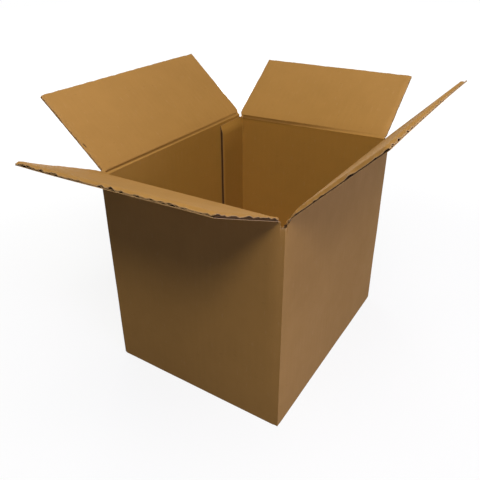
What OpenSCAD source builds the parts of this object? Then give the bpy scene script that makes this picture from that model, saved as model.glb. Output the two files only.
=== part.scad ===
// Open corrugated cardboard box. One slotted blank is folded into a tube and joined by a tab
// glued inside a long wall. The bottom flaps are glued shut and the four top flaps stand open.

/* [Box] */
// Inside length, along the two long walls
inner_l = 254; // [220:1:400]
// Inside width, along the two short walls
inner_w = 200; // [120:1:240]
// Inside height under the closed top flaps
inner_h = 213; // [100:1:400]

/* [Board] */
// Thickness of the corrugated board
board = 4; // [3:0.1:5]
// Thickness of each facing sheet of the board
liner = 0.5; // [0.3:0.05:0.8]
// Thickness of the wavy sheet between the facings
medium = 0.5; // [0.3:0.05:0.8]
// Depth to which each wave crest is glued into its facing
glue_bite = 0.1; // [0.05:0.01:0.2]
// Distance from one flute to the next
flute_pitch = 7.8; // [6:0.1:10]

/* [Folds] */
// Inside radius of a fold, which also keeps each flap's ends clear of the walls beside it
fold_in_r = 0.5; // [0.3:0.1:1.5]
// Rounding of the short walls' lower edges, pressed flat by the bottom flaps
foot_r = 2.5; // [1:0.1:2.8]
// Depth of the corner slots past the creases they run between
slot_over = 1; // [0.5:0.1:4]
// Gap at each side of a scored crease
crease_gap = 0.1; // [0.05:0.01:0.3]
// Width of the strip beside a crease where the flutes are crushed solid
crush_w = 7; // [6:0.5:15]

/* [Flaps] */
// Distance by which each closed top flap stops short of the middle of the box's width
flap_short = 4; // [0.5:0.5:10]
// Gap between the long walls' bottom flaps, which meet along the middle of the base
seam_gap = 1; // [0.4:0.1:4]
// Gap between the short walls' flaps and the long walls' flaps closed over them
stack_gap = 0.4; // [0.2:0.1:2]

/* [Glued joint] */
// Width of the tab glued inside the left wall
tab_w = 45; // [25:1:60]
// Height by which each end of the tab slopes towards its free edge
tab_taper = 3; // [1:1:20]
// Bevel pressed on the outside of the tab's fold
joint_bevel = 2; // [1:0.1:3]

/* [Open angles] */
// Outward lean of the front flap from upright
front_lean = 64.5; // [0:0.1:150]
// Outward lean of the back flap from upright
back_lean = 55; // [0:0.1:150]
// Outward lean of the left flap from upright
left_lean = 49.5; // [0:0.1:150]
// Outward lean of the right flap from upright
right_lean = 46.5; // [0:0.1:150]

/* [Hidden] */
$fn = 48;
kraft = [0.66, 0.49, 0.28];
kraft_light = [0.7, 0.53, 0.31];
outer_l = inner_l + 2 * board;
outer_w = inner_w + 2 * board;
fold_r = board + fold_in_r;
// Straight lengths of the walls between their folds, and widths of the flaps on them
long_span = outer_l - 2 * fold_r;
short_span = outer_w - 2 * fold_r;
flap_l = outer_w / 2 - flap_short;
base_flap_l = (outer_w - seam_gap) / 2;
floor_z = 2 * board;
// Heights of the crease lines on the outer faces of the walls
short_crease = floor_z + inner_h + board;
long_crease = short_crease + board + stack_gap;
corner_low = slot_over;
corner_top = short_crease - board - slot_over;
core = board - 2 * liner;
wave_amp = (core - medium) / 2 + glue_bite;
wave_steps = 8;

// Sections of the walls, with x running inwards from the outer face and y upwards

// Outer edge of a fold, taken off to leave it round
module fold_edge(r) {
    difference() {
        square(r);
        translate([r, r]) circle(r);
    }
}

// Long wall with its bottom flap outermost
module long_section() {
    top = long_crease - crease_gap;
    difference() {
        polygon([
            [0, 0], [base_flap_l, 0], [base_flap_l, board], [board, board], [board, top - board], [0, top]
        ]);
        fold_edge(fold_r);
    }
}

// Short wall with its bottom flap lying on the long walls' flaps
module short_section() {
    top = short_crease - crease_gap;
    difference() {
        polygon([
            [0, 0], [board, 0], [board, board], [base_flap_l, board], [base_flap_l, floor_z],
            [board, floor_z], [board, top - board], [0, top]
        ]);
        fold_edge(foot_r);
    }
}

// Stands a section up along x from one end of a wall to the other, its outer face at y = 0
module along_wall(from, to) {
    translate([from, 0, 0])
        rotate([90, 0, 90])
            linear_extrude(to - from)
                children();
}

// The box's sides, each placed with its outer face on y = 0 and its width along x

module on_front() {
    translate([0, -outer_l / 2, 0]) children();
}

module on_back() {
    rotate(180) translate([0, -outer_l / 2, 0]) children();
}

module on_left() {
    rotate(-90) translate([0, -outer_w / 2, 0]) children();
}

module on_right() {
    rotate(90) translate([0, -outer_w / 2, 0]) children();
}

// Folded vertical edge between two walls, its centre at [x, y]
module corner_fold(x, y, turn) {
    translate([x, y, corner_low])
        rotate(turn)
            rotate_extrude(angle = 90)
                translate([fold_in_r, 0])
                    square([board, corner_top - corner_low]);
}

// Tab that turns in from the back wall and is glued to the inside of the left wall
module glue_tab() {
    outer_x = -inner_w / 2;
    fold_y = long_span / 2;
    edge_y = inner_l / 2 - tab_w;
    translate([outer_x, fold_y, corner_low])
        linear_extrude(corner_top - corner_low)
            polygon([
                [0, 0], [fold_r, 0], [fold_r, fold_r], [joint_bevel, fold_r], [0, fold_r - joint_bevel]
            ]);
    translate([outer_x, 0, 0])
        rotate([90, 0, 90])
            linear_extrude(board)
                polygon([
                    [fold_y, floor_z], [fold_y, corner_top],
                    [edge_y, corner_top - tab_taper], [edge_y, floor_z + tab_taper]
                ]);
}

// Cut edge of the left wall, carried past the tab's fold
module joint_edge() {
    translate([-outer_w / 2, long_span / 2, corner_low])
        cube([board, fold_r - joint_bevel, corner_top - corner_low]);
}

module box_body() {
    fold_x = short_span / 2;
    fold_y = long_span / 2;
    color(kraft) {
        on_front() along_wall(-fold_x, fold_x) short_section();
        on_back() along_wall(-fold_x, fold_x - board) short_section();
        on_left() along_wall(-fold_y, fold_y) long_section();
        on_right() along_wall(-fold_y, fold_y) long_section();
        corner_fold(fold_x, fold_y, 0);
        corner_fold(-fold_x, -fold_y, 180);
        corner_fold(fold_x, -fold_y, 270);
        glue_tab();
        joint_edge();
    }
}

// Section across the flutes of a flap, its outer face on y = 0
module fluted_section(width) {
    flutes = round(width / flute_pitch);
    steps = flutes * wave_steps;
    wave = [
        for (i = [0:steps]) [width * (i / steps - 0.5), board / 2 + wave_amp * sin(360 * i / wave_steps)]
    ];
    over = [for (p = wave) p + [0, medium / 2]];
    under = [for (i = [steps:-1:0]) wave[i] - [0, medium / 2]];
    translate([-width / 2, 0]) square([width, liner]);
    translate([-width / 2, board - liner]) square([width, liner]);
    polygon(concat(over, under));
}

// Flap standing upright on its crease, which lies along x at the outer face
module flap(width) {
    along_wall(-width / 2, width / 2)
        polygon([[0, crease_gap], [board, board + crease_gap], [board, crush_w], [0, crush_w]]);
    translate([0, 0, crush_w])
        linear_extrude(flap_l - crush_w)
            fluted_section(width);
}

module front_flap() {
    color(kraft_light)
        on_front() translate([0, 0, short_crease]) rotate([front_lean, 0, 0]) flap(short_span);
}

module back_flap() {
    color(kraft_light)
        on_back() translate([0, 0, short_crease]) rotate([back_lean, 0, 0]) flap(short_span);
}

module left_flap() {
    color(kraft_light)
        on_left() translate([0, 0, long_crease]) rotate([left_lean, 0, 0]) flap(long_span);
}

module right_flap() {
    color(kraft_light)
        on_right() translate([0, 0, long_crease]) rotate([right_lean, 0, 0]) flap(long_span);
}

box_body();
front_flap();
back_flap();
left_flap();
right_flap();
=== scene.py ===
import math

import bmesh
import bpy
from mathutils import Matrix, Vector, noise


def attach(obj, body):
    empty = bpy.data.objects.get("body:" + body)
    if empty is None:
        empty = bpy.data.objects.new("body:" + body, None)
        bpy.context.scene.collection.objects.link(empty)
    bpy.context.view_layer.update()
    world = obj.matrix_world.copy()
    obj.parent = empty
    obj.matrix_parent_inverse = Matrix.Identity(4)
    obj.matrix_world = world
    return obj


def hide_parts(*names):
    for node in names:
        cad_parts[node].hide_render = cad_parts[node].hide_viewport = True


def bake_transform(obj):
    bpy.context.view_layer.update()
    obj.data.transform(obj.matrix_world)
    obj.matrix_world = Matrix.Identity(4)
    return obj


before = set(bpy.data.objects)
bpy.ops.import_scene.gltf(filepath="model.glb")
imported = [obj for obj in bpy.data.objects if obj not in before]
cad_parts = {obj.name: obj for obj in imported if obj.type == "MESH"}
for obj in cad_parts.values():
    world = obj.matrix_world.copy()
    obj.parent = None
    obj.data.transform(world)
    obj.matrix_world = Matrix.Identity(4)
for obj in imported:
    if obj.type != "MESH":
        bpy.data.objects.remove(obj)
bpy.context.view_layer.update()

# Sizes of the folded blank, in metres
BOARD = 0.004
LINER = 0.0005
WAVY = 0.0003
CLEAR = 0.0001
FLUTE = 0.0078
OUT_W = 0.208
OUT_L = 0.262
FOLD_R = 0.0045
FOOT_R = 0.0006
LONG_SPAN = OUT_L - 2 * FOLD_R
SHORT_SPAN = OUT_W - 2 * FOLD_R
SHORT_CREASE = 0.225
LONG_CREASE = 0.2294
FLAP_L = 0.100
FLAP_GAP = 0.0003
BASE_FLAP_L = 0.1035
FLOOR_Z = 2 * BOARD

# The glued joint at the back left corner
TAB_W = 0.048
TAB_TAPER = 0.0003
JOINT_SETBACK = 0.002

# The facing over a bend reaches this far to each side, and its score lies this far up the flap
STRIP = 0.012
SCORE = 0.0004

# Heights at which the walls end: folds at the slots cut between the flaps, walls at their creases
SLOT_END = 0.2245
NEAR_SLOT_END = SLOT_END - 0.003
JOINT_TOP = SLOT_END + 0.0007
CORNER_LOW = 0.001
ZONE_TOP = {
    "left": LONG_CREASE, "right": LONG_CREASE, "front": SHORT_CREASE, "back": SHORT_CREASE,
    "corner": SLOT_END, "near corner": NEAR_SLOT_END,
    "tab fold": JOINT_TOP, "edge": JOINT_TOP, "tab": JOINT_TOP,
}
FOLDS = ("corner", "near corner", "tab fold")

# Sheets of the board, and marks on a sheet: the painted shade inside the flutes and the light end of a cut
# one.
# Lesser marks are wear, from 0 to 1, and negative ones are darkening, down to -1: painted shade on the tab,
# and on the pressed lines partly crushed fibres, partly painted shade.
LAYERS = ("outer", "inner", "medium")
FLUTE_SHADE_MARK = 2.0
CUT_END = 1.74
SHADE_FROM = 1.8

# First seeds of the noise on the top and bottom flaps, and the steps from flap to flap
FLAP_SEED, FLAP_SEED_STEP = 100, 11
BASE_SEED, BASE_SEED_STEP = 40, 9

# Each side of the box, seen from outside with its left end first. Pairs give a value for each end.
#   turn, reach     about the vertical, and out to the wall's outer face
#   crease, rise    height of the hinge line, and how far the bend itself lies above it
#   width, lean     of the flap
#   root            thickness left at the flap's crushed root
#   lift, drawn     of the free corners, out of flat and out of square
#   belly           of the free edge's middle, out of straight
#   spread, flare   widening of the flap just past its root and at its free corners
#   curl            of the side edges near the root
#   score, shade    widths of the pressed line and its darkening, towards the flap and towards the wall
#   bend            width of the bend below it
#   dark            strength of the pressed line, its depth and its darkening: partly crushed fibres, partly painted shade
#   notch           torn out of the inner facing at the end of the bend
#   crushed         share by which the side edges are crushed
#   pressed         share by which the free edge is crushed
#   lit             whether light falls into the flutes at the cut edges
SIDES = {
    "front": dict(
        turn=0, reach=OUT_L / 2, crease=SHORT_CREASE, rise=(0.0011, 0.0011), width=SHORT_SPAN, lean=64.5,
        root=0.0034, lift=(-0.0019, 0.0006), drawn=(0, 0), belly=0, spread=(0, 0), flare=(0, 0),
        curl=(0.0017, 0.0012), score=0.0006, shade=(0.0006, 0.0006), bend=0.0012, dark=(0.8, 0.8),
        notch=(0, 0.002), crushed=(0.1, 0.5), pressed=(0.8, 0.7), lit=False),
    "back": dict(
        turn=180, reach=OUT_L / 2, crease=SHORT_CREASE, rise=(0, 0), width=SHORT_SPAN, lean=55.0,
        root=0.0026, lift=(-0.0030, 0.0040), drawn=(0, 0.0004), belly=0, spread=(0.0009, 0.0026),
        flare=(-0.0005, 0.0018), curl=(0, 0), score=0.0009, shade=(0.0030, 0.0060), bend=0.0030,
        dark=(0.1, 1.4), notch=(0, 0), crushed=(0.4, 0.1), pressed=(0.12, 0.12), lit=True),
    "left": dict(
        turn=-90, reach=OUT_W / 2, crease=LONG_CREASE, rise=(-0.0005, -0.0044), width=LONG_SPAN, lean=49.5,
        root=0.0028, lift=(0.0042, -0.0036), drawn=(0.0047, 0.0022), belly=0, spread=(0.0027, -0.0022),
        flare=(0.0015, -0.0030), curl=(0, 0), score=0.0010, shade=(0.0042, 0.0010), bend=0.0036,
        dark=(0.5, 1.1), notch=(0, 0), crushed=(0.1, 0.8), pressed=(0.12, 0.12), lit=True),
    "right": dict(
        turn=90, reach=OUT_W / 2, crease=LONG_CREASE, rise=(-0.0026, -0.0054), width=LONG_SPAN, lean=46.5,
        root=0.0007, lift=(0.0002, 0.0001), drawn=(0, 0), belly=0.0009, spread=(0, 0), flare=(0, 0),
        curl=(0, 0), score=0.0006, shade=(0.0006, 0.0006), bend=0.0012, dark=(0.8, 0.8),
        notch=(0.0018, 0), crushed=(1.1, 1.5), pressed=(1.0, 1.6), lit=False),
}

# Colours of the paper
KRAFT = (0.42, 0.22, 0.055, 1)
# Walls' inside: painted bounce light, lighter and more saturated than the same facing on the flaps
KRAFT_BOUNCE_LIT = (0.45, 0.235, 0.046, 1)
KRAFT_LIGHT = (0.52, 0.31, 0.13, 1)
KRAFT_DARK = (0.26, 0.125, 0.035, 1)
TORN = (0.56, 0.37, 0.18, 1)
# Painted shade inside the flutes
IN_FLUTE_SHADE = (0.09, 0.045, 0.016, 1)
# Pressed line: partly the darker crushed fibres, partly painted shade of its groove and of the hollow strip
# below it
SCORED_AND_SHADED = (0.12, 0.05, 0.005, 1)


# Shares and distances

def clamp(v, low=0.0, high=1.0):
    return max(low, min(high, v))


def ease(v):
    v = clamp(v)
    return v * v * (3 - 2 * v)


def beside(gap, reach):
    """1 at an edge, falling to 0 where the gap to it is the given reach."""
    return clamp(1 - gap / reach)


def bell(off, width):
    return math.exp(-(off / width) ** 2)


def between(pair, t):
    """Value of a pair at a share t of the way from its first end to its second."""
    return pair[0] * (1 - t) + pair[1] * t


def wobble(x, y, seed, scale):
    """Smooth noise from -1 to 1 over a distance of about scale. Waves along a line differ by their y."""
    seed_step = 7.31
    return noise.noise(Vector((x / scale, y / scale, seed * seed_step)))


def steps(start, end, size):
    n = max(1, round(abs(end - start) / size))
    return [start + (end - start) * i / n for i in range(n + 1)]


def side_matrix(side, height):
    """Frame of a line along a wall: x along it, y into the box from the outer face, z up."""
    spec = SIDES[side]
    turn = Matrix.Rotation(math.radians(spec["turn"]), 4, "Z")
    return turn @ Matrix.Translation((0, -spec["reach"], height))


# Sheets of paper

def paper(bm, across, along, place, thickness, edge=None, inside=None, under_mark=None):
    """Adds one sheet: a grid of the given stations, shaped by place(across, along), its thickness behind.
    edge(across, along) gives the paper's mark there, and under_mark that of its far side, or else the mark
    of painted shade.
    inside(across, along) gives how far it takes the walls' inside colour, which is painted bounce light."""
    nx, ny = len(across) - 1, len(along) - 1
    part = bmesh.new()
    mark = part.verts.layers.float_vector.new("sheet")
    bounce_tint = part.verts.layers.float.new("bounce_tint")
    outward = part.verts.layers.float_vector.new("outward")
    bmesh.ops.create_grid(part, x_segments=nx, y_segments=ny, size=0.5)
    for v in part.verts:
        a = across[round((v.co.x + 0.5) * nx)]
        b = along[round((v.co.y + 0.5) * ny)]
        v[mark] = Vector((a, b, edge(a, b) if edge else 0.0))
        v[bounce_tint] = inside(a, b) if inside else 0.0
        v.co = place(a, b)
    part.normal_update()
    for v in part.verts:
        v[outward] = v.normal
    under = bmesh.ops.extrude_face_region(part, geom=part.faces[:], use_keep_orig=True)["geom"]
    for v in under:
        if isinstance(v, bmesh.types.BMVert):
            v.co -= thickness * v[outward]
            v[mark].z = under_mark(v[mark].x, v[mark].y) if under_mark else FLUTE_SHADE_MARK
    part.verts.layers.float_vector.remove(outward)
    bmesh.ops.recalc_face_normals(part, faces=part.faces[:])
    add(bm, part)


def add(bm, part):
    """Moves the geometry of one bmesh into another."""
    mesh = bpy.data.meshes.new("part")
    part.to_mesh(mesh)
    part.free()
    bm.from_mesh(mesh)
    bpy.data.meshes.remove(mesh)


def piece(name, bm):
    """A finished piece of the box, in kraft paper, with its cut edges left sharp."""
    mesh = bpy.data.meshes.new(name)
    bm.to_mesh(mesh)
    bm.free()
    obj = bpy.data.objects.new(name, mesh)
    bpy.context.scene.collection.objects.link(obj)
    mesh.materials.append(kraft)
    for p in mesh.polygons:
        p.use_smooth = True
    sharp_from = math.radians(40)
    mesh.set_sharp_from_angle(angle=sharp_from)
    return obj


# Fluted board

# How far in its cut edges are crushed, in patches of what length and depth, and how unevenly
END_CRUSH, SIDE_CRUSH = 0.004, 0.005
END_PATCH, SIDE_PATCH = 0.012, 0.016
PATCH_DEPTH = 0.5
CRUSH_UNEVEN, CRUSH_WAVE = 0.9, 0.0045

# How far in they fray, how much of each sheet is gone, and the lengths of the tears
FRAY = 0.002
SIDE_TRIM, END_TRIM = 0.0003, 0.0004
TEAR = {"outer": 0.0005, "inner": 0.0003, "medium": 0.0003}
TEAR_LONG, TEAR_SHORT = 0.005, 0.0018

# How far in they are worn, the wear from which lit flutes are light, and the light rim of other cut flutes
WORN = 0.004
LIT_FROM = 0.6
CUT_W, CUT_SIDE = 0.0005, 0.001

# Spacing of the stations on a panel: over most of it, and closer along its cut edges
PANEL_STEPS = (0.0018, 0.002)
BASE_STEPS = (FLUTE / 2, 0.006)
SIDE_BAND, SIDE_STEP = 0.006, 0.0012
END_BAND, END_STEP = 0.004, 0.001
WAVE_STEPS = 8
WAVE_ALONG = 0.008
WAVE_PHASE = 0.9
WAVE_ROOT = 0.004


def board_depth(width, length, seed, crushed, pressed):
    """Depth from the outer to the inner face of a panel, at a place across and along it. It is crushed in
    patches near the cut edges, and by the given shares at the side edges and the ends of the free edge."""
    half = width / 2

    def depth(x, s):
        end = beside(length - s, END_CRUSH)
        side = beside(half - abs(x), SIDE_CRUSH)
        patch = end * max(0, wobble(x, 3.1, seed + 4, END_PATCH))
        patch += side * max(0, wobble(s, 5.7, seed + 5, SIDE_PATCH))
        flat = max(crushed[0 if x < 0 else 1] * ease(side), between(pressed, x / width + 0.5) * ease(end))
        flat *= 1 + CRUSH_UNEVEN * wobble(x, s, seed + 8, CRUSH_WAVE)
        return BOARD - clamp(PATCH_DEPTH * patch + flat) * (BOARD - 3 * LINER)

    return depth


def fluted_board(bm, matrix, width, root, length, seed, depth, warp=None, inner_root=None, lit=False,
                 spacing=PANEL_STEPS):
    """A panel of board in the frame of its crease: outer facing on y = 0, flutes along z, frayed edges.
    warp(x, s) is how far the panel is moved along its width, out of flat and along the flutes.
    The inside of the flutes is painted dark as shade up to the cut edges, or keeps the paper's colour
    beside them where light falls in."""
    inner_root = root if inner_root is None else inner_root
    half = width / 2
    flutes = round(width / FLUTE)

    def fray(x, s, layer):
        """Pulls the cut edges in and out a little, each sheet its own way."""
        side = beside(half - abs(x), FRAY)
        end = beside(length - s, FRAY)
        tear = TEAR[layer] * (0.5 if lit else 1)
        n = LAYERS.index(layer)

        def torn(where, trim, long_seed, short_seed):
            long_tear = tear * wobble(where, n, long_seed, TEAR_LONG)
            return trim + long_tear + tear * wobble(where, n, short_seed, TEAR_SHORT)

        dx = -side * torn(s, SIDE_TRIM, seed, seed + 7)
        ds = -end * torn(x, END_TRIM, seed + 1, seed + 2)
        return math.copysign(dx, dx * x), ds

    def worn(x, s):
        return max(beside(half - abs(x), WORN), beside(length - s, WORN))

    # Mark of the flutes' inside: painted shade, the paper's colour where light falls in, and the light end
    # of a cut flute
    def hollow(x, s):
        if lit:
            return 0.0 if worn(x, s) > LIT_FROM else FLUTE_SHADE_MARK
        return CUT_END if s > length - CUT_W and abs(x) < half - CUT_SIDE else FLUTE_SHADE_MARK

    def sheet(layer):
        def place(x, s):
            u = 0
            if layer == "inner":
                u = depth(x, s)
            elif layer == "medium":
                wave = math.cos(math.tau * flutes * (x / width + 0.5) - WAVE_PHASE)
                u = depth(x, s) / 2 - wave * (depth(x, s) / 2 - LINER - CLEAR)
            dx, ds = fray(x, s, layer)
            moved = warp(x, s) if warp else Vector()
            return matrix @ (Vector((x + dx, u, s + ds)) + moved)
        return place

    across = steps(-half, -half + SIDE_BAND, SIDE_STEP)
    across += steps(-half + SIDE_BAND, half - SIDE_BAND, spacing[0])[1:]
    across += steps(half - SIDE_BAND, half, SIDE_STEP)[1:]
    tail = steps(length - END_BAND, length, END_STEP)[1:]
    outer = steps(root, length - END_BAND, spacing[1]) + tail
    inner = steps(inner_root, length - END_BAND, spacing[1]) + tail
    wavy = steps(root + WAVE_ROOT, length - END_BAND, WAVE_ALONG) + tail
    paper(bm, across, outer, sheet("outer"), LINER, worn, under_mark=hollow)
    paper(bm, across[::-1], inner, sheet("inner"), LINER, worn, under_mark=hollow)
    paper(bm, steps(-half, half, width / (flutes * WAVE_STEPS)), wavy, sheet("medium"), WAVY, hollow,
          under_mark=hollow)


# Top flaps, with how they sag and curl

SAG_POWER = 1.3
RIPPLE, RIPPLE_WAVE = 0.0005, 0.07
CURL_W = 0.008
SPREAD_L = 0.005


def flap_depth(side, seed):
    """Depth of a top flap's board, which is crushed down to the given thickness at its root."""
    spec = SIDES[side]
    depth = board_depth(spec["width"], FLAP_L, seed, spec["crushed"], spec["pressed"])

    def rooted(x, s):
        full = depth(x, s)
        root = min(spec["root"], full)
        return root + (full - root) * ease((s + BOARD) / (STRIP + BOARD))

    return rooted


def flap_warp(side, seed):
    """How an open flap is moved, at a place across and along it, from a flat panel hinged on the crease."""
    spec = SIDES[side]
    half = spec["width"] / 2
    angle = math.radians(spec["lean"])

    def warp(x, s):
        t = x / spec["width"] + 0.5
        share = max(0, s) / FLAP_L
        rise = (1 - share) * between(spec["rise"], t)
        out = (between(spec["lift"], t) + spec["belly"] * 4 * t * (1 - t)) * share ** SAG_POWER
        out += RIPPLE * share * wobble(x, s, seed, RIPPLE_WAVE)
        end = 0 if x < 0 else 1
        out += spec["curl"][end] * (1 - share) * ease(beside(half - abs(x), CURL_W))
        wide = [between((spec["spread"][n], spec["flare"][n]), share) * ease(s / SPREAD_L) for n in (0, 1)]
        return Vector((t * wide[1] - (1 - t) * wide[0], rise * math.sin(angle) + out,
                       rise * math.cos(angle) + between(spec["drawn"], t) * share))

    return warp


def top_flap(side, seed):
    spec = SIDES[side]
    matrix = side_matrix(side, spec["crease"]) @ Matrix.Rotation(math.radians(spec["lean"]), 4, "X")
    depth, warp = flap_depth(side, seed), flap_warp(side, seed)
    bm = bmesh.new()
    fluted_board(bm, matrix, spec["width"], FLAP_GAP, FLAP_L, seed, depth, warp, STRIP, spec["lit"])
    obj = piece(side + "_flap_board", bm)
    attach(obj, side)
    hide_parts(side + "_flap")


# The facing over a bend: how its pressed line wanders, and how its ends fray, tear and turn over

SCORE_DEPTH = 0.0011
SCORE_STRAY, SCORE_STRAY_WAVE = 0.0003, 0.03
SCORE_UNEVEN, SCORE_UNEVEN_WAVE = 0.3, 0.012
BEND_RAGGED, BEND_RAGGED_WAVE = 0.0004, 0.006
STRIP_TRIM, STRIP_TRIM_WAVE = 0.0003, 0.004
NOTCH_H, NOTCH_W = 0.004, 0.009
TURN_OVER = 1.3
TURN_OVER_H, TURN_OVER_W = 0.007, 0.003
STRIP_WORN = 0.0022

# Spacing of its stations: across, along, and closer along between the bend and the score
STRIP_ACROSS, STRIP_ALONG, STRIP_FINE = 0.002, 0.0015, 0.0003
BELOW_BEND, PAST_SCORE = 0.001, 0.002


def crease_paper(side, seed):
    """Facing that runs from the inside of a wall over the bend to the inside of its flap, scored."""
    spec = SIDES[side]
    matrix = side_matrix(side, spec["crease"])
    warp, depth = flap_warp(side, seed), flap_depth(side, seed)
    half = spec["width"] / 2
    angle = math.radians(spec["lean"])
    bend_z = (spec["root"] - BOARD * math.cos(angle)) / math.sin(angle)
    bend_s = bend_z * math.cos(angle) - BOARD * math.sin(angle)
    lean = Matrix.Rotation(angle, 4, "X")

    # Strength of the pressed line, which sinks the facing and darkens it: partly crushed fibres, partly
    # painted shade, wider towards the wall
    def score(s, x):
        t = x / spec["width"] + 0.5
        off = s - SCORE - SCORE_STRAY * wobble(x, 0, seed + 6, SCORE_STRAY_WAVE)
        width = between(spec["shade"], t) if off < 0 else spec["score"]
        return clamp(between(spec["dark"], t)) * bell(off, width)

    def place(x, q):
        t = x / spec["width"] + 0.5
        gap = half - abs(x)
        rise = between(spec["rise"], t) * clamp(1 + q / (STRIP + bend_z))
        wall = Vector((x, BOARD, bend_z + q + rise))
        s = bend_s + q
        uneven = 1 + SCORE_UNEVEN * wobble(x, q, seed, SCORE_UNEVEN_WAVE)
        u = depth(x, s) - SCORE_DEPTH * score(s, x) * uneven
        flap = lean @ (Vector((x, u, s)) + warp(x, s))
        ragged = BEND_RAGGED * wobble(x, 2.0, seed + 3, BEND_RAGGED_WAVE)
        point = wall.lerp(flap, ease((q + ragged) / spec["bend"] + 0.5))
        notch = between(spec["notch"], round(t))
        edge = STRIP_TRIM * (1 + wobble(q, 1, seed, STRIP_TRIM_WAVE)) * beside(gap, FRAY)
        edge += notch * bell(q, NOTCH_H) * beside(gap, NOTCH_W)
        point.x -= math.copysign(edge, x)
        point.y -= TURN_OVER * notch * bell(q, TURN_OVER_H) * beside(gap, TURN_OVER_W)
        return matrix @ point

    # Wear at the side edges, elsewhere the pressed line's darkening, partly painted shade
    def worn(x, q):
        return beside(half - abs(x), STRIP_WORN) or -score(bend_s + q, x)

    # Share of the walls' inside colour, painted bounce light, fading out over the bend
    def inside(x, q):
        return 1 - ease(q / spec["bend"] + 0.5)

    fine_end = SCORE + PAST_SCORE - bend_s
    stations = steps(-STRIP - bend_z, -BELOW_BEND, STRIP_ALONG)
    stations += steps(-BELOW_BEND, fine_end, STRIP_FINE)[1:]
    stations += steps(fine_end, STRIP - bend_s, STRIP_ALONG)[1:]
    bm = bmesh.new()
    paper(bm, steps(half, -half, STRIP_ACROSS), stations, place, LINER, worn, inside)
    obj = piece(side + "_crease_paper", bm)
    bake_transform(obj)


# The folded walls

FOLD_STEPS = 8
JOIN = 0.00001
FACING_LEVELS, WAVY_LEVELS = 44, 12
FOOT_SHARE, FOOT_STEP = 0.012, 0.0015
FLOOR_LAP = 0.002
WAVY_SHORT = 0.006

# The right wall's top edge drops into the notch at the near corner
NOTCH_TOP = 0.2229
NOTCH_SLOPE = 0.46

# Heights over which the tab and the folds are crushed below their ends, and what that does to the folds
TAB_CRUSH = 0.010
FOLD_CRUSH = 0.008
FOLD_SHIFT = {"outer": 0.0004, "inner": -0.0008, "medium": 0.0}
FOLD_WAVE = 0.2
SLOT_RAGGED, SLOT_RAGGED_WAVE = 0.0006, 0.004

# Walls out of flat: all over, along the tab's fold, and at the front's near edge
WALL_RIPPLE, WALL_RIPPLE_WAVE = 0.00025, 0.05
TAB_FOLD_DIP, TAB_FOLD_W = 0.0003, 0.006
NEAR_DENT, NEAR_DENT_W = 0.0011, 0.013

# Wear of the folds and the tab, and the shade on the tab, over shares of the height and width
FOLD_WORN = 0.35
SLOT_WORN_FROM, SLOT_WORN_H = 0.975, 0.02
TAB_WORN_FROM, TAB_WORN_W = 0.96, 0.04
TAB_SHADE, TAB_CLEAR_FROM, TAB_CLEAR_H = 0.42, 0.8, 0.2


def blank_path(spacing):
    """Stations along the blank's outer face, from the left wall's cut edge round to the tab:
    (distance, point, inward direction, zone)."""
    hx, hy = OUT_W / 2, OUT_L / 2
    fx, fy = hx - FOLD_R, hy - FOLD_R
    out = []
    run = 0.0

    def line(start, end, inward, zone):
        nonlocal run
        start, end = Vector(start), Vector(end)
        length = (end - start).length
        for d in steps(JOIN, length - JOIN, spacing):
            out.append((run + d, start.lerp(end, d / length), Vector(inward), zone))
        run += length

    def fold(centre, start_angle, zone, sharp=False):
        """A quarter turn, round or pressed to a sharp edge."""
        nonlocal run
        for n in range(FOLD_STEPS + 1):
            turned = math.radians(90 * n / FOLD_STEPS)
            a = math.radians(start_angle) + turned
            d = Vector((math.cos(a), math.sin(a)))
            if sharp:
                d /= max(math.cos(turned), math.sin(turned))
            out.append((run + FOLD_R * turned, Vector(centre) + FOLD_R * d, -d, zone))
        run += FOLD_R * math.pi / 2

    line((-hx, hy - JOINT_SETBACK), (-hx, fy), (1, 0), "edge")
    line((-hx, fy), (-hx, -fy), (1, 0), "left")
    fold((-fx, -fy), 180, "corner")
    line((-fx, -hy), (fx, -hy), (0, 1), "front")
    fold((fx, -fy), 270, "near corner", sharp=True)
    line((hx, -fy), (hx, fy), (-1, 0), "right")
    fold((fx, fy), 0, "corner", sharp=True)
    line((fx, hy), (-fx + BOARD, hy), (0, -1), "back")
    fold((-fx + BOARD, fy), 90, "tab fold")
    line((-hx + BOARD + CLEAR, fy), (-hx + BOARD + CLEAR, hy - BOARD - TAB_W), (1, 0), "tab")
    return out


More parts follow.
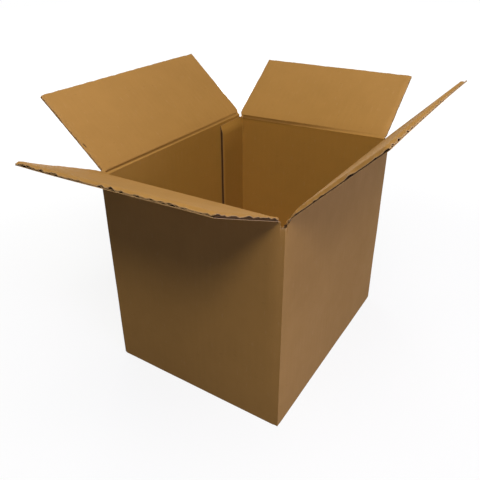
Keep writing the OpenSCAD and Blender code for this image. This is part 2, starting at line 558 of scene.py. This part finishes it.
def wall_sheet(bm, layer):
    """One sheet of the walls' board: the outer facing, the inner facing or the wavy sheet between them."""
    wavy, inside = layer == "medium", layer != "outer"
    path = blank_path(FLUTE / WAVE_STEPS if wavy else FLUTE / 2)
    levels = steps(0, 1, 1 / (WAVY_LEVELS if wavy else FACING_LEVELS))
    if layer == "outer":
        levels = steps(0, FOOT_SHARE, FOOT_STEP) + steps(FOOT_SHARE, 1, 1 / FACING_LEVELS)[1:]

    tab_fold = path[-1][0] - TAB_W
    right_start = min(d for d, _, _, zone in path if zone == "right")
    near_edge = right_start - FOLD_R * math.pi / 4

    def zone_share(i):
        """How far along its wall a station is, from the wall's left end seen from outside."""
        run = [d for d, _, _, zone in path if zone == path[i][3]]
        return (path[i][0] - run[0]) / (run[-1] - run[0])

    def tab_share(i):
        """How far along the tab a station is, from its fold to its free edge."""
        d, _, _, zone = path[i]
        return beside(path[-1][0] - d, TAB_W) if zone == "tab" else 0.0

    def ends(i):
        """Heights of the sheet's lower and upper ends at a station."""
        d, _, _, zone = path[i]
        low = FLOOR_Z - FLOOR_LAP if inside else (0.0 if zone in SIDES else CORNER_LOW)
        top = ZONE_TOP[zone]
        if zone in SIDES:
            if inside:
                top -= WAVY_SHORT if wavy else STRIP
            else:
                top += between(SIDES[zone]["rise"], zone_share(i))
        if zone == "right":
            top = min(top, NOTCH_TOP + NOTCH_SLOPE * (d - right_start))
        if zone == "tab":
            top -= TAB_TAPER * tab_share(i)
            low = FLOOR_Z + TAB_TAPER * tab_share(i)
        return low, top

    def place(i, j):
        d, p, inward, zone = path[i]
        low, top = ends(i)
        z = low + (top - low) * j
        inset = {"outer": 0.0, "inner": BOARD, "medium": BOARD / 2}[layer]
        if layer == "outer" and z < FOOT_R:
            inset += FOOT_R - math.sqrt(max(0, FOOT_R ** 2 - (FOOT_R - z) ** 2))
        if wavy:
            wave = math.cos(math.tau * d / FLUTE)
            inset += (BOARD / 2 - LINER - CLEAR) * (FOLD_WAVE if zone in FOLDS else 1) * wave
        if zone == "tab" and inside:
            inset -= (BOARD - 2 * LINER) * ease((z - top + TAB_CRUSH) / TAB_CRUSH) * (inset / BOARD)
        if zone in FOLDS:
            crush = ease((z - top + FOLD_CRUSH) / FOLD_CRUSH)
            inset += FOLD_SHIFT[layer] * crush * (zone != "tab fold")
            z += SLOT_RAGGED * crush * wobble(d, 1.0, 3 + inside, SLOT_RAGGED_WAVE)
        soft = WALL_RIPPLE * wobble(d, z, 11, WALL_RIPPLE_WAVE)
        if layer == "inner":
            soft += TAB_FOLD_DIP * bell(d - tab_fold, TAB_FOLD_W)
        point = Vector((p.x, p.y, z)) + Vector((inward.x, inward.y, 0)) * (inset + soft)
        if layer == "outer" and zone in ("front", "near corner") and d <= near_edge:
            point.y += NEAR_DENT * clamp(z / SLOT_END) * beside(near_edge - d, NEAR_DENT_W) ** 2
        return point

    # Mark of a station: wear on the folds and at the tab's free edge, painted shade on the tab below its
    # top and on the wavy sheet
    def worn(i, j):
        zone = path[i][3]
        if wavy:
            return FLUTE_SHADE_MARK
        if zone in FOLDS:
            return FOLD_WORN + (1 - FOLD_WORN) * ease((j - SLOT_WORN_FROM) / SLOT_WORN_H)
        if zone == "tab" and inside:
            share = tab_share(i)
            cleared = share * ease((j - TAB_CLEAR_FROM) / TAB_CLEAR_H)
            return ease((share - TAB_WORN_FROM) / TAB_WORN_W) or -TAB_SHADE * (1 - cleared)
        return 0.0

    stations = list(range(len(path)))
    part = bmesh.new()
    # The inner sheets take the walls' inside colour, which is painted bounce light
    paper(part, stations[::-1] if inside else stations, levels, place, WAVY if wavy else LINER, worn,
          lambda i, j: float(inside))
    mark = part.verts.layers.float_vector["sheet"]
    for v in part.verts:
        v[mark].x = path[round(v[mark].x)][0]
        v[mark].y = v.co.z
    add(bm, part)


def walls():
    bm = bmesh.new()
    for layer in LAYERS:
        wall_sheet(bm, layer)
    obj = piece("box_walls", bm)
    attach(obj, "box")
    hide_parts("box_body")


def bottom_flaps():
    """Flaps of the base, the long walls' pair lowest and the short walls' pair on top of them."""
    folded_in = Matrix(((-1, 0, 0, 0), (0, 0, 1, 0), (0, 1, 0, 0), (0, 0, 0, 1)))
    crushed = (0.1, 0.1)
    bm = bmesh.new()
    for n, side in enumerate(("left", "right", "front", "back")):
        width = SIDES[side]["width"]
        level = 0.0 if side in ("left", "right") else BOARD
        seed = BASE_SEED + BASE_SEED_STEP * n
        depth = board_depth(width, BASE_FLAP_L, seed, crushed, crushed)
        matrix = side_matrix(side, level) @ folded_in
        root = BOARD if level else FOOT_R
        fluted_board(bm, matrix, width, root, BASE_FLAP_L, seed, depth, spacing=BASE_STEPS)
    obj = piece("bottom_flaps", bm)
    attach(obj, "box")


# Kraft paper

def add_node(tree, kind, **settings):
    node = tree.nodes.new(kind)
    for key, value in settings.items():
        setattr(node, key, value)
    return node


def feed(tree, slot, value):
    """Sets a socket to a number or colour, or links another socket to it."""
    if isinstance(value, (int, float, tuple)):
        slot.default_value = value
    else:
        tree.links.new(value, slot)


def math_node(tree, operation, *values):
    node = add_node(tree, "ShaderNodeMath", operation=operation)
    for slot, value in zip(node.inputs, values):
        feed(tree, slot, value)
    return node.outputs[0]


def noise_node(tree, vector, scale, detail, stretch=(1, 1, 1)):
    """Noise about its middle, from about -0.5 to 0.5."""
    mapping = add_node(tree, "ShaderNodeMapping")
    mapping.inputs["Scale"].default_value = stretch
    tree.links.new(vector, mapping.inputs["Vector"])
    node = add_node(tree, "ShaderNodeTexNoise")
    node.inputs["Scale"].default_value = scale
    node.inputs["Detail"].default_value = detail
    tree.links.new(mapping.outputs[0], node.inputs["Vector"])
    return math_node(tree, "SUBTRACT", node.outputs["Fac"], 0.5)


def ramp_node(tree, value, low, high):
    """Smooth step from 0 at low to 1 at high."""
    node = add_node(tree, "ShaderNodeMapRange", interpolation_type="SMOOTHSTEP")
    node.inputs["From Min"].default_value = low
    node.inputs["From Max"].default_value = high
    tree.links.new(value, node.inputs["Value"])
    return node.outputs["Result"]


def mix_colour(tree, share, first, second, blend="MIX"):
    node = add_node(tree, "ShaderNodeMix", data_type="RGBA", blend_type=blend)
    colour_a, colour_b = node.inputs[6], node.inputs[7]
    for slot, value in zip((node.inputs["Factor"], colour_a, colour_b), (share, first, second)):
        feed(tree, slot, value)
    return node.outputs[2]


def shader_group(name, inputs, outputs):
    """A node group with the given vector inputs and float outputs."""
    tree = bpy.data.node_groups.new(name, "ShaderNodeTree")
    for key in inputs:
        tree.interface.new_socket(name=key, in_out="INPUT", socket_type="NodeSocketVector")
    for key in outputs:
        tree.interface.new_socket(name=key, in_out="OUTPUT", socket_type="NodeSocketFloat")
    return tree, add_node(tree, "NodeGroupInput").outputs, add_node(tree, "NodeGroupOutput").inputs


def fibre_group():
    """Cloudy tone of recycled pulp, its fibres light and dark, and the height of its grain."""
    fine_share = 0.6
    fibre_scale = 420
    tree, source, out = shader_group(
        "pulp_fibres", ["Place", "Sheet"], ["Cloud", "Light fibre", "Dark fibre", "Grain"])
    place, sheet = source["Place"], source["Sheet"]
    broad = noise_node(tree, place, scale=9, detail=3)
    fine = noise_node(tree, place, scale=60, detail=4)
    tree.links.new(math_node(tree, "MULTIPLY_ADD", fine, fine_share, broad), out["Cloud"])
    along = noise_node(tree, sheet, fibre_scale, detail=2, stretch=(1, 0.22, 1))
    crossed = noise_node(tree, sheet, fibre_scale, detail=2, stretch=(0.3, 1, 1))
    tree.links.new(ramp_node(tree, along, low=0.13, high=0.24), out["Light fibre"])
    tree.links.new(ramp_node(tree, crossed, low=0.16, high=0.26), out["Dark fibre"])
    specks = noise_node(tree, place, scale=1500, detail=2)
    tree.links.new(math_node(tree, "ADD", along, specks), out["Grain"])
    return tree


def flute_group():
    """Faint lines where the facing sinks between the tips of the flutes."""
    tree, source, out = shader_group("flute_lines", ["Sheet"], ["Line"])
    split = add_node(tree, "ShaderNodeSeparateXYZ")
    tree.links.new(source["Sheet"], split.inputs[0])
    turn = math_node(tree, "MULTIPLY", split.outputs["X"], math.tau / FLUTE)
    patch = ramp_node(tree, noise_node(tree, source["Sheet"], scale=22, detail=2), low=-0.2, high=0.25)
    tree.links.new(math_node(tree, "MULTIPLY", math_node(tree, "COSINE", turn), patch), out["Line"])
    return tree


def use_group(tree, group, **inputs):
    node = add_node(tree, "ShaderNodeGroup", node_tree=group)
    for key, value in inputs.items():
        tree.links.new(value, node.inputs[key])
    return node.outputs


# How far each effect shows in the paper's colour
CLOUD_TONE = 0.16
FLUTE_SHADE_TONE = 0.012
LIGHT_FIBRE_SHOWS = 0.22
DARK_FIBRE_SHOWS = 0.25
SCORE_SHADE_SHOWS = 0.8
TORN_SHOWS = 0.55
TORN_RAGGED = 1.3

# Its finish, and the height of its flute lines and grain
ROUGH, CLOUD_ROUGH = 0.72, -0.2
GLOSS = 0.12
FLUTE_RELIEF = 0.35
GRAIN_RELIEF = 0.25
RELIEF_SHARE, RELIEF = 0.35, 0.0002


def kraft_paper():
    mat = bpy.data.materials.new("kraft_board")
    mat.use_nodes = True
    tree = mat.node_tree
    shader = tree.nodes["Principled BSDF"]
    place = add_node(tree, "ShaderNodeTexCoord").outputs["Object"]
    sheet = add_node(tree, "ShaderNodeAttribute", attribute_name="sheet").outputs["Vector"]
    bounce_tint = add_node(tree, "ShaderNodeAttribute", attribute_name="bounce_tint").outputs["Fac"]
    split = add_node(tree, "ShaderNodeSeparateXYZ")
    tree.links.new(sheet, split.inputs[0])
    mark = split.outputs["Z"]
    pulp = use_group(tree, fibre_group(), Place=place, Sheet=sheet)
    flutes = use_group(tree, flute_group(), Sheet=sheet)

    def scaled(value, factor):
        return math_node(tree, "MULTIPLY", value, factor)

    tone = math_node(tree, "MULTIPLY_ADD", pulp["Cloud"], CLOUD_TONE, 1.0)
    # The flute lines darken the colour in the sinks and lighten it on the ridges: painted shade and light
    tone = math_node(tree, "MULTIPLY_ADD", flutes["Line"], FLUTE_SHADE_TONE, tone)
    # Painted bounce light on the walls' inside
    colour = mix_colour(tree, 1.0, mix_colour(tree, bounce_tint, KRAFT, KRAFT_BOUNCE_LIT), tone, "MULTIPLY")
    colour = mix_colour(tree, scaled(pulp["Light fibre"], LIGHT_FIBRE_SHOWS), colour, KRAFT_LIGHT)
    colour = mix_colour(tree, scaled(pulp["Dark fibre"], DARK_FIBRE_SHOWS), colour, KRAFT_DARK)
    # Darkening of the pressed lines, partly painted shade, and the painted shade on the tab
    pressed = ramp_node(tree, scaled(mark, -1.0), low=0.1, high=0.9)
    colour = mix_colour(tree, scaled(pressed, SCORE_SHADE_SHOWS), colour, SCORED_AND_SHADED)
    # Painted shade inside the flutes
    in_flute_shade = math_node(tree, "GREATER_THAN", mark, SHADE_FROM)
    ragged = scaled(noise_node(tree, sheet, scale=700, detail=3), TORN_RAGGED)
    torn = ramp_node(tree, math_node(tree, "ADD", mark, ragged), low=0.72, high=1.15)
    torn = math_node(tree, "MULTIPLY", torn, math_node(tree, "SUBTRACT", 1.0, in_flute_shade))
    colour = mix_colour(tree, scaled(torn, TORN_SHOWS), colour, TORN)
    colour = mix_colour(tree, in_flute_shade, colour, IN_FLUTE_SHADE)
    tree.links.new(colour, shader.inputs["Base Color"])

    rough = math_node(tree, "MULTIPLY_ADD", pulp["Cloud"], CLOUD_ROUGH, ROUGH)
    tree.links.new(rough, shader.inputs["Roughness"])
    shader.inputs["Specular IOR Level"].default_value = GLOSS
    grain = scaled(pulp["Grain"], GRAIN_RELIEF)
    height = math_node(tree, "MULTIPLY_ADD", flutes["Line"], FLUTE_RELIEF, grain)
    bump = add_node(tree, "ShaderNodeBump")
    bump.inputs["Strength"].default_value = RELIEF_SHARE
    bump.inputs["Distance"].default_value = RELIEF
    tree.links.new(height, bump.inputs["Height"])
    tree.links.new(bump.outputs["Normal"], shader.inputs["Normal"])
    return mat


# Camera, floor and light

IMAGE_PX = 480
FOCAL_PX = 502.061
CENTRE_PX = (223.155, 229.187)
SENSOR = 36
EYE = (0.2625, -0.448979, 0.406793)
AZIMUTH, ELEVATION, ROLL = map(math.radians, (34.415, 27.51, -1.417))
ROOM = 0.008
WHITE = (1, 1, 1, 1)
FLOOR_GREY = (0.15, 0.15, 0.15, 1)
FLOOR_ROUGH = 0.9
FLOOR_REACH = 6
GLOW, GLOW_RISE = 0.86, 0.2
GLOW_FROM, GLOW_TO = 0.3, 1.2
BOX_MIDDLE = (0, 0, 0.12)


def camera():
    data = bpy.data.cameras.new("camera")
    cam = bpy.data.objects.new("camera", data)
    bpy.context.scene.collection.objects.link(cam)
    right = Vector((math.cos(AZIMUTH), math.sin(AZIMUTH), 0))
    level = math.cos(ELEVATION)
    back = Vector((math.sin(AZIMUTH) * level, -math.cos(AZIMUTH) * level, math.sin(ELEVATION)))
    up = back.cross(right)
    c, s = math.cos(ROLL), math.sin(ROLL)
    axes = Matrix((c * right + s * up, -s * right + c * up, back)).transposed()
    cam.matrix_world = Matrix.Translation(EYE) @ axes.to_4x4()
    data.sensor_width = SENSOR
    data.lens = SENSOR * FOCAL_PX / IMAGE_PX
    data.shift_x = (IMAGE_PX / 2 - CENTRE_PX[0]) / IMAGE_PX
    data.shift_y = (CENTRE_PX[1] - IMAGE_PX / 2) / IMAGE_PX
    bpy.context.scene.camera = cam


def lamp(name, place, aim, size, power, colour):
    data = bpy.data.lights.new(name, "AREA")
    data.size = size
    data.energy = power
    data.color = colour
    obj = bpy.data.objects.new(name, data)
    obj.location = place
    obj.rotation_euler = (Vector(aim) - Vector(place)).to_track_quat("-Z", "Y").to_euler()
    bpy.context.scene.collection.objects.link(obj)


def lamps():
    lamp("overhead", (0.25, -0.2, 1.6), aim=(0, 0, 0.15), size=0.9, power=12.2, colour=(1, 0.97, 0.9))
    lamp("window", (0.72, -0.9, 1.4), aim=(0, 0, 0.05), size=0.4, power=10.4, colour=(1, 0.97, 0.95))
    lamp("side", (1.5, -0.43, 0.3), aim=BOX_MIDDLE, size=0.8, power=18.4, colour=(0.48, 0.52, 1))
    lamp("fill", (-1.4, 0.75, 0.7), aim=BOX_MIDDLE, size=1.0, power=6.0, colour=(0.7, 0.8, 1))
    lamp("rear", (-0.95, 1.15, 0.2), aim=BOX_MIDDLE, size=0.35, power=9.0, colour=(1, 0.95, 0.9))


def seen_directly(tree):
    """1 for the rays that show the background itself, 0 for those that light the box."""
    path = add_node(tree, "ShaderNodeLightPath").outputs
    seen = math_node(tree, "MAXIMUM", path["Is Camera Ray"], path["Is Glossy Ray"])
    return math_node(tree, "MAXIMUM", seen, path["Is Transmission Ray"])


def floor_white():
    mat = bpy.data.materials.new("floor_white")
    mat.use_nodes = True
    tree = mat.node_tree
    shader = tree.nodes["Principled BSDF"]
    shader.inputs["Base Color"].default_value = FLOOR_GREY
    shader.inputs["Roughness"].default_value = FLOOR_ROUGH
    shader.inputs["Specular IOR Level"].default_value = 0.0
    shader.inputs["Emission Color"].default_value = WHITE
    place = add_node(tree, "ShaderNodeTexCoord").outputs["Object"]
    length = add_node(tree, "ShaderNodeVectorMath", operation="LENGTH")
    tree.links.new(place, length.inputs[0])
    far = ramp_node(tree, length.outputs["Value"], GLOW_FROM, GLOW_TO)
    glow = math_node(tree, "MULTIPLY_ADD", far, GLOW_RISE, GLOW)
    seen_glow = math_node(tree, "MULTIPLY", seen_directly(tree), glow)
    tree.links.new(seen_glow, shader.inputs["Emission Strength"])
    return mat


def studio_floor():
    bm = bmesh.new()
    bmesh.ops.create_grid(bm, x_segments=1, y_segments=1, size=FLOOR_REACH)
    mesh = bpy.data.meshes.new("floor")
    bm.to_mesh(mesh)
    bm.free()
    floor = bpy.data.objects.new("floor", mesh)
    bpy.context.scene.collection.objects.link(floor)
    mesh.materials.append(floor_white())


def backdrop():
    world = bpy.data.worlds.new("studio")
    bpy.context.scene.world = world
    world.use_nodes = True
    tree = world.node_tree
    tree.nodes["Background"].inputs["Color"].default_value = WHITE
    strength = math_node(tree, "MULTIPLY_ADD", seen_directly(tree), 1 - ROOM, ROOM)
    tree.links.new(strength, tree.nodes["Background"].inputs["Strength"])


kraft = kraft_paper()
walls()
bottom_flaps()
for n, name in enumerate(SIDES):
    top_flap(name, FLAP_SEED + FLAP_SEED_STEP * n)
    crease_paper(name, FLAP_SEED + FLAP_SEED_STEP * n)
camera()
studio_floor()
backdrop()
lamps()
bpy.context.scene.view_settings.view_transform = "Standard"
